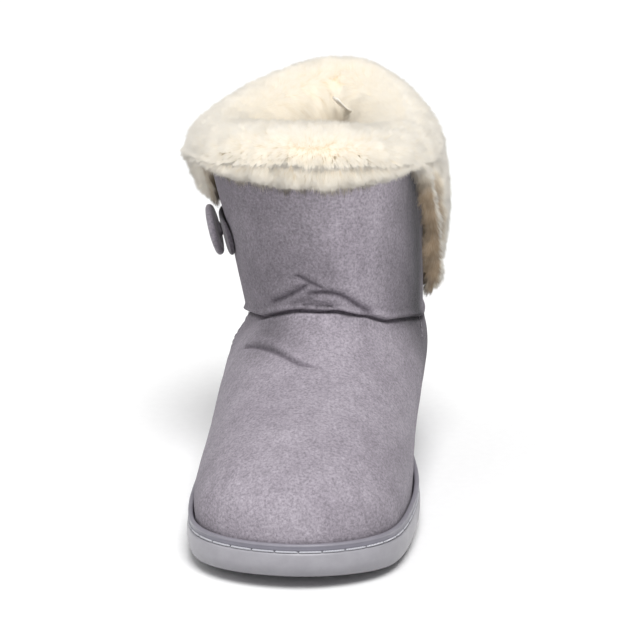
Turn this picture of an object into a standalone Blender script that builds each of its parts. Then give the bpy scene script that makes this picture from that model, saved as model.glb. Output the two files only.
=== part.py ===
"""A bootie slipper for the right foot, in metres, +Z up, toe towards -Y, inner side of the foot towards +X.

The maker's pieces are a moulded cup outsole, an insole, a hollow upper of foot and shaft, a fur cuff that is
folded over the top of the shaft, a side tab with its button, and a plain tape loop sewn in the collar.
Angles round the shoe are measured from the toe: 0 at the toe, 90 on the inner side, 180 at the heel,
and -90 on the outer side.
"""

import bisect
import math

import bmesh
import bpy
import numpy as np
from mathutils import Matrix, Vector

# Sole, overall
SOLE_LENGTH = 0.258
BALL_WIDTH = 0.099
SOLE_HEIGHT = 0.026
TOE_SPRING = 0.0055
ARCH_RISE = 0.0015

# Cup of the sole, which the upper stands in
CUP_WALL = 0.0030
CUP_DEPTH = 0.0105

# Tread under the sole
TREAD_RIM = 0.010
TREAD_DEPTH = 0.0016
TREAD_GROOVE = 0.0026
TREAD_PITCH = 0.0115
TREAD_BEND = 0.006

# Upper
UPPER_WALL = 0.0030
SHAFT_HEIGHT = 0.1512

# Insole
INSOLE_THICKNESS = 0.0060

# Fur cuff folded over the shaft
CUFF_PILE_INSIDE = 0.0125
CUFF_PILE_OUTSIDE = 0.0120
CUFF_CROWN = 0.0130
CUFF_INNER_LEG = 0.034
CUFF_DROP = 0.094
CUFF_FRINGE = 0.0105
CUFF_SEAM_DENT = 0.0028
CUFF_LOCK = 0.0022

# Tab and button on the outer side
TAB_WIDTH = 0.0150
TAB_THICKNESS = 0.0020
TAB_BOW = 0.0006
TAB_FRONT_ANGLE = -62.0
TAB_BACK_ANGLE = -107.0
TAB_BELOW_CROWN = 0.0520
BUTTON_DIAMETER = 0.0238
BUTTON_THICKNESS = 0.0040
BUTTON_SHANK = 0.0014
BUTTON_SHANK_DIAMETER = 0.0070
BUTTON_ANGLE = -84.0
BUTTON_LEAN = 1.0

# Tape loop inside the collar
LOOP_WIDTH = 0.0060
LOOP_REACH = 0.0095
LOOP_TAPE = 0.0011
LOOP_ANGLE = 138.0
LOOP_BELOW_CROWN = 0.0140
LOOP_STAND = 0.0005

# Pieces that touch keep this gap
SEAT_GAP = 0.0003

# How finely the pieces are cut into facets
ROUND_STEPS = 48
CUFF_STEP = 6.0
BUTTON_STEPS = 28

# The sole's plan: fullness of each side, as shares of BALL_WIDTH, along the length from toe (0) to heel (1)
OUTLINE = (
    # along, inner, outer
    (0.00, 0.800, 0.900),
    (0.05, 0.775, 0.815),
    (0.10, 0.715, 0.738),
    (0.16, 0.634, 0.654),
    (0.22, 0.579, 0.600),
    (0.30, 0.531, 0.551),
    (0.40, 0.480, 0.512),
    (0.50, 0.422, 0.467),
    (0.62, 0.388, 0.425),
    (0.75, 0.418, 0.430),
    (0.88, 0.500, 0.500),
    (1.00, 0.580, 0.580),
)

# The sole's side view: shares of TOE_SPRING, ARCH_RISE and SOLE_HEIGHT
SIDE_LINE = (
    # along, spring, arch, top
    (0.00, 1.00, 0.0, 0.800),
    (0.06, 0.70, 0.0, 0.785),
    (0.12, 0.36, 0.0, 0.770),
    (0.20, 0.08, 0.0, 0.762),
    (0.27, 0.00, 0.0, 0.762),
    (0.42, 0.00, 0.0, 0.790),
    (0.55, 0.00, 1.0, 0.845),
    (0.66, 0.00, 0.0, 0.900),
    (0.94, 0.00, 0.0, 0.980),
    (1.00, 0.20, 0.0, 1.000),
)

# The sole's wall from the ground up to its lip: height as a share of the wall, step in as a share of CUP_WALL
SOLE_WALL = (
    # up, inset
    (0.000, 1.75),
    (0.045, 1.05),
    (0.130, 0.52),
    (0.300, 0.15),
    (0.500, 0.00),
    (0.660, 0.07),
    (0.735, 0.20),
    (0.752, 0.48),
    (0.795, 0.48),
    (0.812, 0.30),
    (0.920, 0.32),
    (0.937, 0.20),
    (0.975, 0.20),
    (1.000, 0.40),
)

# The upper's rings above the cup. Along and reach are shares of SOLE_LENGTH and BALL_WIDTH, up is of SHAFT_HEIGHT
UPPER_RINGS = (
    # front along, back along, front up, side up, back up, inner, outer, foot, nose, tail
    (0.0165, 0.9890, 0.140, 0.095, 0.110, 0.460, 0.462, 1.00, 1.00, 1.00),
    (0.0400, 0.9905, 0.207, 0.130, 0.142, 0.460, 0.464, 0.80, 1.02, 1.00),
    (0.0810, 0.9890, 0.252, 0.163, 0.174, 0.458, 0.464, 0.55, 1.06, 1.00),
    (0.1430, 0.9850, 0.287, 0.193, 0.205, 0.455, 0.464, 0.36, 1.10, 1.00),
    (0.2210, 0.9800, 0.318, 0.223, 0.235, 0.450, 0.462, 0.22, 1.14, 1.00),
    (0.2980, 0.9750, 0.350, 0.253, 0.265, 0.452, 0.458, 0.12, 1.16, 1.00),
    (0.3680, 0.9690, 0.388, 0.284, 0.294, 0.448, 0.450, 0.05, 1.14, 1.00),
    (0.4200, 0.9620, 0.434, 0.315, 0.323, 0.438, 0.430, 0.00, 1.08, 1.00),
    (0.4470, 0.9560, 0.478, 0.350, 0.350, 0.424, 0.392, 0.00, 1.03, 1.00),
    (0.4620, 0.9530, 0.508, 0.375, 0.372, 0.408, 0.372, 0.00, 1.00, 1.00),
    (0.4480, 0.9550, 0.532, 0.402, 0.396, 0.415, 0.380, 0.00, 1.02, 1.00),
    (0.4430, 0.9440, 0.600, 0.540, 0.560, 0.418, 0.420, 0.00, 1.04, 1.00),
    (0.4450, 0.9350, 0.747, 0.705, 0.747, 0.410, 0.480, 0.00, 1.04, 0.96),
    (0.4400, 0.9300, 0.885, 0.840, 0.900, 0.386, 0.536, 0.00, 1.04, 0.90),
    (0.4350, 0.9300, 0.966, 0.906, 0.988, 0.372, 0.550, 0.00, 1.04, 0.84),
)

# How low the cuff hangs round the shaft: shares of CUFF_DROP below the crown's front
HEM_LINE = (
    # angle, drop
    (-180.0, 0.975),
    (-150.0, 0.990),
    (-138.0, 0.950),
    (-128.0, 0.820),
    (-118.0, 0.640),
    (-108.0, 0.540),
    (-98.0, 0.515),
    (-86.0, 0.510),
    (-80.0, 0.440),
    (-75.0, 0.315),
    (-68.0, 0.256),
    (-35.0, 0.264),
    (0.0, 0.276),
    (35.0, 0.264),
    (68.0, 0.254),
    (74.0, 0.290),
    (79.0, 0.420),
    (85.0, 0.600),
    (91.0, 0.770),
    (97.0, 0.930),
    (105.0, 0.990),
    (150.0, 0.990),
    (180.0, 0.975),
)

# How thick the cuff's pile is outside and inside the shaft, by angle, as shares of CUFF_PILE_OUTSIDE and
# CUFF_PILE_INSIDE
CUFF_FLARE = (
    # angle, outside, inside
    (-180.0, 1.00, 1.00),
    (-120.0, 0.84, 1.20),
    (-84.0, 0.64, 1.45),
    (-50.0, 0.82, 1.30),
    (0.0, 1.00, 1.08),
    (90.0, 1.00, 1.05),
    (180.0, 1.00, 1.00),
)

# The cuff's outer leg from shoulder (1) to seam (0), thickness as a share of CUFF_PILE_OUTSIDE
CUFF_LEG = (
    # level, out
    (1.00, 1.00),
    (0.80, 1.05),
    (0.58, 1.02),
    (0.36, 0.92),
    (0.15, 0.80),
)


class Curve:
    """Smooth curve through a table's rows that never swings past a row. A row may hold a number or a whole point."""

    def __init__(self, keys, values):
        self.keys = [float(k) for k in keys]
        self.values = np.asarray(values, float)
        steps = np.diff(self.keys).reshape((-1,) + (1,) * (self.values.ndim - 1))
        slopes = np.diff(self.values, axis=0) / steps
        before, after = slopes[:-1], slopes[1:]
        same_way = before * after > 0
        total = np.where(same_way, before + after, 1.0)
        self.tangents = np.zeros_like(self.values)
        self.tangents[0] = slopes[0]
        self.tangents[-1] = slopes[-1]
        self.tangents[1:-1] = np.where(same_way, 2.0 * before * after / total, 0.0)

    def __call__(self, at):
        k = min(max(bisect.bisect_right(self.keys, at) - 1, 0), len(self.keys) - 2)
        width = self.keys[k + 1] - self.keys[k]
        s = min(max((at - self.keys[k]) / width, 0.0), 1.0)
        start = (1 + 2 * s) * (1 - s) ** 2
        end = s * s * (3 - 2 * s)
        leave = s * (1 - s) ** 2 * width
        arrive = s * s * (s - 1) * width
        return (
            start * self.values[k] + end * self.values[k + 1]
            + leave * self.tangents[k] + arrive * self.tangents[k + 1]
        )


def table_curve(table, index):
    return Curve([row[0] for row in table], [row[index] for row in table])


OUTLINE_SIDE = {1: table_curve(OUTLINE, 1), -1: table_curve(OUTLINE, 2)}
SPRING_LINE = table_curve(SIDE_LINE, 1)
ARCH_LINE = table_curve(SIDE_LINE, 2)
TOP_LINE = table_curve(SIDE_LINE, 3)
HEM_DROP = table_curve(HEM_LINE, 1)
FLARE_OUT = table_curve(CUFF_FLARE, 1)
FLARE_IN = table_curve(CUFF_FLARE, 2)


def side_of(angle):
    """1 on the inner side of the foot, -1 on the outer side."""
    return 1 if math.sin(angle) >= 0 else -1


def along_of(angle):
    """Share of the length from toe to heel, for an angle in radians."""
    return (1.0 - math.cos(angle)) / 2.0


def plan_point(angle):
    """Point of the sole's plan outline."""
    along = along_of(angle)
    x = math.sin(angle) * OUTLINE_SIDE[side_of(angle)](along) * BALL_WIDTH
    return np.array([x, (along - 0.5) * SOLE_LENGTH])


def outline_point(angle, inset):
    """Point of the sole's plan outline, stepped in square to it."""
    small = 0.01
    run = plan_point(angle + small) - plan_point(angle - small)
    outward = np.array([run[1], -run[0]]) / np.linalg.norm(run)
    return plan_point(angle) - outward * inset


def bottom_height(along):
    return SPRING_LINE(along) * TOE_SPRING + ARCH_LINE(along) * ARCH_RISE


def lip_height(along):
    return TOP_LINE(along) * SOLE_HEIGHT


def floor_height(along):
    return lip_height(along) - CUP_DEPTH


def ring_point(row, angle):
    """Point of one ring of the upper: part foot outline, part oval, higher or lower at its front, sides and back."""
    front_along, back_along, front_up, side_up, back_up, inner, outer, foot, nose, tail = row
    along = along_of(angle)
    reach = inner if side_of(angle) == 1 else outer
    if along < 0.5:
        end_up = front_up
        reach *= 1.0 + (nose - 1.0) * (1.0 - 2.0 * along) ** 2
    else:
        end_up = back_up
        reach *= 1.0 + (tail - 1.0) * (2.0 * along - 1.0)
    foot_reach = OUTLINE_SIDE[side_of(angle)](along) - (CUP_WALL + SEAT_GAP) / BALL_WIDTH
    x = math.sin(angle) * BALL_WIDTH * (foot * foot_reach + (1.0 - foot) * reach)
    y = (front_along + (back_along - front_along) * along - 0.5) * SOLE_LENGTH
    base = foot * floor_height(along) + (1.0 - foot) * floor_height(0.5)
    up = end_up + (side_up - end_up) * math.sin(angle) ** 2
    return np.array([x, y, base + SHAFT_HEIGHT * up])


def cup_point(angle, height):
    """Point of the upper where it stands in the cup: the outline, stepped in past the cup's wall."""
    x, y = outline_point(angle, CUP_WALL + SEAT_GAP)
    return np.array([x, y, floor_height(along_of(angle)) + height])


RING_COUNT = len(UPPER_RINGS) + 2


def ring_stack(angle):
    """One point for each ring of the upper, from the cup's floor to the top of the shaft."""
    rings = [cup_point(angle, SEAT_GAP), cup_point(angle, CUP_DEPTH)]
    rings += [ring_point(row, angle) for row in UPPER_RINGS]
    return np.array(rings)


STACKS = {}


def upper_surface(angle, ring):
    """Outer surface of the upper at an angle in radians and a ring, counted from 0 and read smoothly between rings."""
    key = round(angle % (2 * math.pi), 9)
    if key not in STACKS:
        STACKS[key] = Curve(range(RING_COUNT), ring_stack(angle))
    return STACKS[key](ring)


def upper_point(angle, ring, depth):
    """Point of the upper at a depth inside its outer surface, square to it. A negative depth is outside."""
    small_angle, small_ring = 0.02, 0.05
    low, high = max(ring - small_ring, 0.0), min(ring + small_ring, RING_COUNT - 1.0)
    around = upper_surface(angle + small_angle, ring) - upper_surface(angle - small_angle, ring)
    up = upper_surface(angle, high) - upper_surface(angle, low)
    outward = np.cross(around, up)
    return upper_surface(angle, ring) - outward / np.linalg.norm(outward) * depth


def ring_at_height(angle, height):
    """The ring whose height at this angle is the one asked for."""
    low, high = 0.0, RING_COUNT - 1.0
    for _ in range(24):
        middle = (low + high) / 2.0
        if upper_surface(angle, middle)[2] < height:
            low = middle
        else:
            high = middle
    return (low + high) / 2.0


def shaft_point(angle, height, outward):
    """Point at a height, standing off level from the outer face of the upper."""
    small = 0.03
    run = (
        upper_surface(angle + small, ring_at_height(angle + small, height))
        - upper_surface(angle - small, ring_at_height(angle - small, height))
    )
    away = np.array([run[1], -run[0], 0.0]) / math.hypot(run[0], run[1])
    place = upper_surface(angle, ring_at_height(angle, height)) + away * outward
    place[2] = height
    return place


def steps_round(count):
    return [2.0 * math.pi * k / count for k in range(count)]


def new_object(name, mesh_builder, material):
    """Object named for its piece, from a bmesh with its faces turned outward."""
    mesh = bpy.data.meshes.new(name)
    bmesh.ops.recalc_face_normals(mesh_builder, faces=mesh_builder.faces)
    mesh_builder.to_mesh(mesh)
    mesh_builder.free()
    mesh.materials.append(material)
    mesh.shade_smooth()
    mesh.set_sharp_from_angle(angle=math.radians(50))
    obj = bpy.data.objects.new(name, mesh)
    bpy.context.scene.collection.objects.link(obj)
    return obj


def new_material(name, colour, roughness):
    material = bpy.data.materials.new(name)
    material.use_nodes = True
    shader = material.node_tree.nodes["Principled BSDF"]
    shader.inputs["Base Color"].default_value = (*colour, 1.0)
    shader.inputs["Roughness"].default_value = roughness
    shader.inputs["Metallic"].default_value = 0.0
    return material


def loft(bm, rings, closed=False):
    """Faces between rings of points, each ring closed on itself. closed also joins the last ring to the first."""
    loops = [[bm.verts.new(p) for p in ring] for ring in rings]
    pairs = list(zip(loops, loops[1:]))
    if closed:
        pairs.append((loops[-1], loops[0]))
    for lower, upper in pairs:
        count = len(lower)
        for k in range(count):
            bm.faces.new((lower[k], lower[(k + 1) % count], upper[(k + 1) % count], upper[k]))
    return loops


def span(bm, loop):
    """Strips across a ring, each from one side of the shoe to the other."""
    count = len(loop)
    half = count // 2
    bm.faces.new((loop[0], loop[1], loop[count - 1]))
    for k in range(1, half - 1):
        bm.faces.new((loop[k], loop[k + 1], loop[count - k - 1], loop[count - k]))
    bm.faces.new((loop[half - 1], loop[half], loop[half + 1]))


def sole_ring(inset, height_at):
    """Ring of the outline, stepped in, at a height read from its place along the sole."""
    ring = []
    for angle in steps_round(ROUND_STEPS):
        x, y = outline_point(angle, inset)
        ring.append((x, y, height_at(along_of(angle))))
    return ring


def tread_grooves():
    """Cutters for the cross grooves under the forefoot and the heel, each a bar with a shallow bend."""
    bm = bmesh.new()
    for start, end in ((0.10, 0.47), (0.70, 0.93)):
        run = (end - start) * SOLE_LENGTH
        count = max(int(run / TREAD_PITCH), 1)
        for k in range(count):
            along = start + (k + 0.5) / count * (end - start)
            angle = math.acos(1.0 - 2.0 * along)
            left = outline_point(-angle, TREAD_RIM)[0]
            right = outline_point(angle, TREAD_RIM)[0]
            top = bottom_height(along) + TREAD_DEPTH
            middle = (along - 0.5) * SOLE_LENGTH
            corners = []
            for x, bend in ((left, 0.0), ((left + right) / 2.0, -TREAD_BEND), (right, 0.0)):
                for side in (-0.5, 0.5):
                    corners.append((x, middle + bend + TREAD_BEND / 2.0 + side * TREAD_GROOVE))
            low = [bm.verts.new((x, y, -TREAD_DEPTH)) for x, y in corners]
            high = [bm.verts.new((x, y, top)) for x, y in corners]
            edge = (0, 2, 4, 5, 3, 1)
            for i, j in zip(edge, edge[1:] + edge[:1]):
                bm.faces.new((low[i], low[j], high[j], high[i]))
            for a, b in ((0, 2), (2, 4)):
                bm.faces.new((low[a], low[b], low[b + 1], low[a + 1]))
                bm.faces.new((high[a], high[b], high[b + 1], high[a + 1]))
    return bm


def make_outsole(material):
    """Moulded cup sole: rounded wall, stitch groove, recessed band, lip, and the cup's floor inside."""
    bm = bmesh.new()
    rings = []
    for up, inset in SOLE_WALL:
        rings.append(sole_ring(
            inset * CUP_WALL,
            lambda along, up=up: bottom_height(along) + up * (lip_height(along) - bottom_height(along)),
        ))
    rings.append(sole_ring(CUP_WALL * 0.80, lip_height))
    rings.append(sole_ring(CUP_WALL, lambda along: lip_height(along) - CUP_WALL * 0.2))
    rings.append(sole_ring(CUP_WALL, floor_height))
    loops = loft(bm, rings)
    span(bm, loops[0])
    span(bm, loops[-1])
    outsole = new_object("outsole", bm, material)
    cutter = new_object("tread_cutter", tread_grooves(), material)
    cutter.hide_render = True
    cutter.display_type = "WIRE"
    cut = outsole.modifiers.new("tread", "BOOLEAN")
    cut.operation = "DIFFERENCE"
    cut.solver = "EXACT"
    cut.object = cutter
    return outsole


def make_upper(material):
    """Hollow foot and shaft: an outer and an inner skin, joined at the top edge and where the sole closes it."""
    halves = (1, 2, 3, 13, 14, 15)
    places = sorted([float(k) for k in range(RING_COUNT)] + [k + 0.5 for k in halves])
    angles = steps_round(ROUND_STEPS)
    outer = [[upper_point(a, place, 0.0) for a in angles] for place in places]
    inner = [[upper_point(a, place, UPPER_WALL) for a in angles] for place in places]
    for skin_out, skin_in in zip(outer[0] + outer[-1], inner[0] + inner[-1]):
        skin_in[2] = skin_out[2]
    bm = bmesh.new()
    loft(bm, outer + inner[::-1], closed=True)
    return new_object("upper", bm, material)


def make_insole(material):
    """Soft footbed on the cup's floor, inside the upper, with a rolled top edge."""
    depth = UPPER_WALL + SEAT_GAP
    levels = ((0.0, 0.0), (0.62, 0.0), (0.90, 0.25), (1.0, 0.70))
    rings = []
    for up, rounding in levels:
        ring = []
        for angle in steps_round(ROUND_STEPS):
            floor = floor_height(along_of(angle))
            height = floor + SEAT_GAP + up * INSOLE_THICKNESS
            share = (height - floor) / CUP_DEPTH
            x, y, _ = upper_point(angle, share, depth + rounding * INSOLE_THICKNESS)
            ring.append((x, y, height))
        rings.append(ring)
    bm = bmesh.new()
    loops = loft(bm, rings)
    span(bm, loops[0])
    span(bm, loops[-1])
    return new_object("insole", bm, material)


def degrees_of(angle):
    """The angle in degrees, from -180 to 180."""
    return (math.degrees(angle) + 180.0) % 360.0 - 180.0


def wall_top(angle):
    return upper_surface(angle, RING_COUNT - 1.0)[2]


def crown_height(angle):
    return wall_top(angle) + CUFF_CROWN


def hem_height(angle):
    return crown_height(0.0) - HEM_DROP(degrees_of(angle)) * CUFF_DROP


def shaft_thickness():
    """Level reach from the shaft's outer face to the cuff's inner leg. The wall leans, so it is thicker on the level."""
    return UPPER_WALL * 1.06 + SEAT_GAP * 2.0


def cuff_section(angle, lock):
    """Closed section of the cuff at one angle: inner leg, crown over the shaft's edge, and outer leg down to the hem."""
    edge = wall_top(angle)
    hem = hem_height(angle)
    seam = min(hem + CUFF_FRINGE, edge - CUFF_CROWN * 0.10)
    fringe = seam - hem
    shoulder = edge + CUFF_CROWN * 0.15
    flare = FLARE_OUT(degrees_of(angle))
    inside = -shaft_thickness()
    pile_in = CUFF_PILE_INSIDE * FLARE_IN(degrees_of(angle))
    pile_out = CUFF_PILE_OUTSIDE
    section = [
        (inside, edge - CUFF_INNER_LEG * 0.93),
        (inside - pile_in * 0.35, edge - CUFF_INNER_LEG),
        (inside - pile_in * 0.80, edge - CUFF_INNER_LEG * 0.94),
        (inside - pile_in, edge - CUFF_INNER_LEG * 0.75),
        (inside - pile_in, edge - CUFF_INNER_LEG * 0.35),
    ]
    inner_face = inside - pile_in
    outer_face = SEAT_GAP + pile_out * flare
    middle, half = (inner_face + outer_face) / 2.0, (outer_face - inner_face) / 2.0
    for turn in (172.0, 145.0, 115.0, 90.0, 62.0, 35.0, 10.0):
        t = math.radians(turn)
        section.append((
            middle + half * math.cos(t),
            shoulder + (crown_height(angle) - shoulder) * math.sin(t),
        ))
    for level, out in CUFF_LEG:
        fade = 1.0 + (flare - 1.0) * level
        section.append((SEAT_GAP + pile_out * out * fade, seam + level * (shoulder - seam)))
    leg_at_seam = pile_out * CUFF_LEG[-1][1]
    section += [
        (SEAT_GAP + leg_at_seam - CUFF_SEAM_DENT, seam),
        (SEAT_GAP + leg_at_seam - CUFF_SEAM_DENT * 0.4, seam - fringe * 0.30),
        (SEAT_GAP + leg_at_seam * 0.80, hem + fringe * 0.28),
        (SEAT_GAP + leg_at_seam * 0.45, hem - lock),
    ]
    foot = hem + fringe * 0.20 - lock
    for level in (0.0, 0.25, 0.50, 0.75, 0.95):
        section.append((SEAT_GAP, foot + level * (edge - foot)))
    section.append((SEAT_GAP, edge + SEAT_GAP))
    section.append((inside, edge + SEAT_GAP))
    section.append((inside, edge - CUFF_INNER_LEG * 0.45))
    return section


def cuff_angles():
    """Angles of the cuff's sections, closer together where its hem falls steeply."""
    angles = []
    degrees = 0.0
    while degrees < 359.9:
        angles.append(math.radians(degrees))
        steep = abs(HEM_DROP((degrees + 183.0) % 360.0 - 180.0) - HEM_DROP((degrees + 180.0) % 360.0 - 180.0))
        degrees += CUFF_STEP / 2.0 if steep > 0.035 else CUFF_STEP
    return angles


def make_cuff(material):
    """Fur cuff in one piece. Every second section's hem hangs lower, which leaves a row of locks."""
    rings = []
    for k, angle in enumerate(cuff_angles()):
        lock = CUFF_LOCK if k % 2 else 0.0
        rings.append([shaft_point(angle, height, out) for out, height in cuff_section(angle, lock)])
    bm = bmesh.new()
    loft(bm, rings, closed=True)
    return new_object("cuff", bm, material)


def tab_face(angle, up, stand_off):
    """Point over the tab's course, which is bowed: nothing at its ends, TAB_BOW at its middle."""
    middle = crown_height(math.radians(BUTTON_ANGLE)) - TAB_BELOW_CROWN
    front, back = math.radians(TAB_FRONT_ANGLE), math.radians(TAB_BACK_ANGLE)
    bow = TAB_BOW * math.sin(math.pi * (angle - front) / (back - front)) ** 2
    return shaft_point(angle, middle + up, SEAT_GAP + bow + stand_off)


def make_tab(material):
    """Strap on the outer side that the button sits on, narrower and rounded at its front end."""
    count = 16
    rings = []
    for k in range(count + 1):
        share = k / count
        angle = math.radians(TAB_FRONT_ANGLE + share * (TAB_BACK_ANGLE - TAB_FRONT_ANGLE))
        round_end = math.sqrt(1.0 - (1.0 - min(share / 0.18, 1.0)) ** 2)
        half = TAB_WIDTH / 2.0 * (0.45 + 0.55 * round_end)
        far = TAB_THICKNESS
        edge = TAB_THICKNESS * 0.25
        section = (
            (0.0, -half), (0.0, 0.0), (0.0, half), (edge, half + edge), (far - edge, half + edge),
            (far, half), (far, 0.0), (far, -half), (far - edge, -half - edge), (edge, -half - edge),
        )
        rings.append([tab_face(angle, up, out) for out, up in section])
    bm = bmesh.new()
    loops = loft(bm, rings)
    bm.faces.new(loops[0])
    bm.faces.new(loops[-1])
    return new_object("button_tab", bm, material)


def make_button(material):
    """Round covered button on a shank, square to the tab it stands on."""
    angle = math.radians(BUTTON_ANGLE)
    small = 0.001
    seat = tab_face(angle, 0.0, TAB_THICKNESS + SEAT_GAP)
    around = tab_face(angle + small, 0.0, TAB_THICKNESS) - tab_face(angle - small, 0.0, TAB_THICKNESS)
    up = tab_face(angle, small, TAB_THICKNESS) - tab_face(angle, -small, TAB_THICKNESS)
    square = Vector(np.cross(around, up)).normalized()
    outward = Matrix.Rotation(math.radians(BUTTON_LEAN), 3, Vector(around)) @ square
    radius, shank = BUTTON_DIAMETER / 2.0, BUTTON_SHANK_DIAMETER / 2.0
    rim = BUTTON_THICKNESS * 0.48
    top = BUTTON_SHANK + BUTTON_THICKNESS
    profile = [(0.0, 0.0), (shank, 0.0), (shank, BUTTON_SHANK), (radius - rim * 1.6, BUTTON_SHANK)]
    for turn in (-65.0, -30.0, 10.0, 50.0):
        t = math.radians(turn)
        profile.append((radius - rim + rim * math.cos(t), BUTTON_SHANK + rim + rim * math.sin(t)))
    profile += [(radius * 0.62, top - BUTTON_THICKNESS * 0.04), (radius * 0.30, top), (0.0, top)]
    bm = bmesh.new()
    verts = [bm.verts.new((r, 0.0, z)) for r, z in profile]
    edges = [bm.edges.new(pair) for pair in zip(verts, verts[1:])]
    bmesh.ops.spin(
        bm, geom=verts + edges, cent=(0, 0, 0), axis=(0, 0, 1), angle=2.0 * math.pi,
        steps=BUTTON_STEPS, use_merge=True, use_duplicate=False,
    )
    bmesh.ops.remove_doubles(bm, verts=bm.verts, dist=1e-6)
    turn = outward.to_track_quat("Z", "Y").to_matrix().to_4x4()
    clear = Vector(seat) + square * shank * math.sin(math.radians(BUTTON_LEAN))
    bmesh.ops.transform(bm, matrix=Matrix.Translation(clear) @ turn, verts=bm.verts)
    return new_object("button", bm, material)


def make_loop(material):
    """Plain tape loop on the inner leg of the cuff, gathered where it is sewn."""
    angle = math.radians(LOOP_ANGLE)
    pile = CUFF_PILE_INSIDE * FLARE_IN(LOOP_ANGLE)
    inner_face = -(shaft_thickness() + pile + LOOP_STAND)
    height = crown_height(angle) - LOOP_BELOW_CROWN
    seat = shaft_point(angle, height, inner_face)
    inward = shaft_point(angle, height, inner_face - 0.01) - seat
    inward /= np.linalg.norm(inward)
    across = np.array([-inward[1], inward[0], 0.0])
    course = ((0.0, 0.0, 0.5), (0.35, 0.10, 0.9), (0.70, 0.32, 1.0), (1.0, 0.70, 1.0))
    half_tape = LOOP_TAPE / 2.0
    rings = []
    for reach, rise, width in course:
        half_width = LOOP_WIDTH / 2.0 * width
        centre = seat + inward * reach * LOOP_REACH + np.array([0.0, 0.0, rise * LOOP_REACH])
        slope = math.atan2(rise * 1.2, 1.0)
        normal = -inward * math.sin(slope) + np.array([0.0, 0.0, math.cos(slope)])
        rings.append([
            centre + across * side * half_width + normal * face * half_tape
            for side, face in ((-1, -1), (1, -1), (1, 1), (-1, 1))
        ])
    bm = bmesh.new()
    loops = loft(bm, rings)
    bm.faces.new(loops[0])
    bm.faces.new(loops[-1])
    return new_object("tape_loop", bm, material)


def stand_on_origin(objects):
    """Moves the finished shoe so that its bounding box stands on the origin."""
    bpy.context.view_layer.update()
    graph = bpy.context.evaluated_depsgraph_get()
    corners = []
    for obj in objects:
        ready = obj.evaluated_get(graph)
        places = np.array([ready.matrix_world @ v.co for v in ready.data.vertices])
        corners += [places.min(axis=0), places.max(axis=0)]
    low, high = np.min(corners, axis=0), np.max(corners, axis=0)
    shift = np.array([-(low[0] + high[0]) / 2.0, -(low[1] + high[1]) / 2.0, -low[2]])
    for obj in bpy.context.scene.objects:
        obj.location = np.array(obj.location) + shift


def main():
    for obj in list(bpy.data.objects):
        bpy.data.objects.remove(obj)
    rubber = new_material("grey_rubber", (0.34, 0.33, 0.36), 0.45)
    suede = new_material("grey_suede", (0.30, 0.28, 0.31), 0.92)
    fur = new_material("cream_fur", (0.88, 0.84, 0.76), 0.95)
    tape = new_material("cream_tape", (0.92, 0.90, 0.85), 0.80)
    covering = new_material("button_cloth", (0.24, 0.22, 0.25), 0.70)
    pieces = [
        make_outsole(rubber),
        make_insole(fur),
        make_upper(suede),
        make_cuff(fur),
        make_tab(suede),
        make_button(covering),
        make_loop(tape),
    ]
    stand_on_origin(pieces)


main()
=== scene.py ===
# %% [markdown]
# # A fur-cuffed bootie slipper
#
# The solids of this slipper come from CAD: a cup sole, an insole, a hollow upper, a fur cuff that is folded over the
# shaft, a button on a small tab and a tape loop. This lesson dresses them: grey suede with creases and sewn seams,
# moulded rubber with a stitched groove, and a deep cream pile. Everything is in metres, and every new piece sits where
# its solid sits.

# %% Load the solids
import math

import bmesh
import bpy
import numpy as np
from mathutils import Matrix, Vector, noise
from mathutils.bvhtree import BVHTree
from mathutils.kdtree import KDTree


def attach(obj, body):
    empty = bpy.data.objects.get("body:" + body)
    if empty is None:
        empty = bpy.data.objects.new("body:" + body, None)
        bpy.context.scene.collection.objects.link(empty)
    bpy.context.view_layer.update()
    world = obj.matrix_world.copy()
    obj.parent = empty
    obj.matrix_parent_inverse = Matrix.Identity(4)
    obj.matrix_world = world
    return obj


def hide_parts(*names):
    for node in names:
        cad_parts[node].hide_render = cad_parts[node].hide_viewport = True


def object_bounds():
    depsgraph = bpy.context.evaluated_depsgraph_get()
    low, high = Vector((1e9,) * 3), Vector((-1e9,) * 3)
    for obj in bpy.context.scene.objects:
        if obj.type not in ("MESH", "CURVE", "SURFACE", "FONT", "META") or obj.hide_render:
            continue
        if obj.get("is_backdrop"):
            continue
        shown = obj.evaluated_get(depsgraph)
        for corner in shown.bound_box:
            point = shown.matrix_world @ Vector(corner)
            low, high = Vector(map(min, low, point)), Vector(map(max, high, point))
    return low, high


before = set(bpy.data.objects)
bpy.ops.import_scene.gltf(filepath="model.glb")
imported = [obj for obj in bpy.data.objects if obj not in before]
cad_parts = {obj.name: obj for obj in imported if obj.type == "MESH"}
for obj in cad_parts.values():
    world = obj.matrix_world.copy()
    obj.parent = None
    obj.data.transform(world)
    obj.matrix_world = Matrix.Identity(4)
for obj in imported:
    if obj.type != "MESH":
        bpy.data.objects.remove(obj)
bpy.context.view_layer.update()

MM = 0.001
print("solids:", ", ".join(sorted(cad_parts)))

# %% [markdown]
# ## Camera
#
# The shoe is seen from the front, a little from its inner side and from above. A long lens at 1.65 m keeps the toe
# from looking swollen. The camera is set first, so that each later step can be judged from where it is seen.

# %% Camera
CAMERA_PLACE = Vector((0.16620, -1.57339, 0.53863))
CAMERA_AIM = Vector((0.0017, 0.0300, 0.0722))
LENS = 214.0

lens = bpy.data.cameras.new("product_camera")
lens.lens = LENS
lens.clip_start = 0.05
lens.clip_end = 20.0
camera = bpy.data.objects.new("product_camera", lens)
camera.location = CAMERA_PLACE
camera.rotation_euler = (CAMERA_AIM - CAMERA_PLACE).to_track_quat("-Z", "Y").to_euler()
bpy.context.scene.collection.objects.link(camera)
bpy.context.scene.camera = camera
print("camera is", round((CAMERA_AIM - CAMERA_PLACE).length, 3), "m from the shoe")

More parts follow.
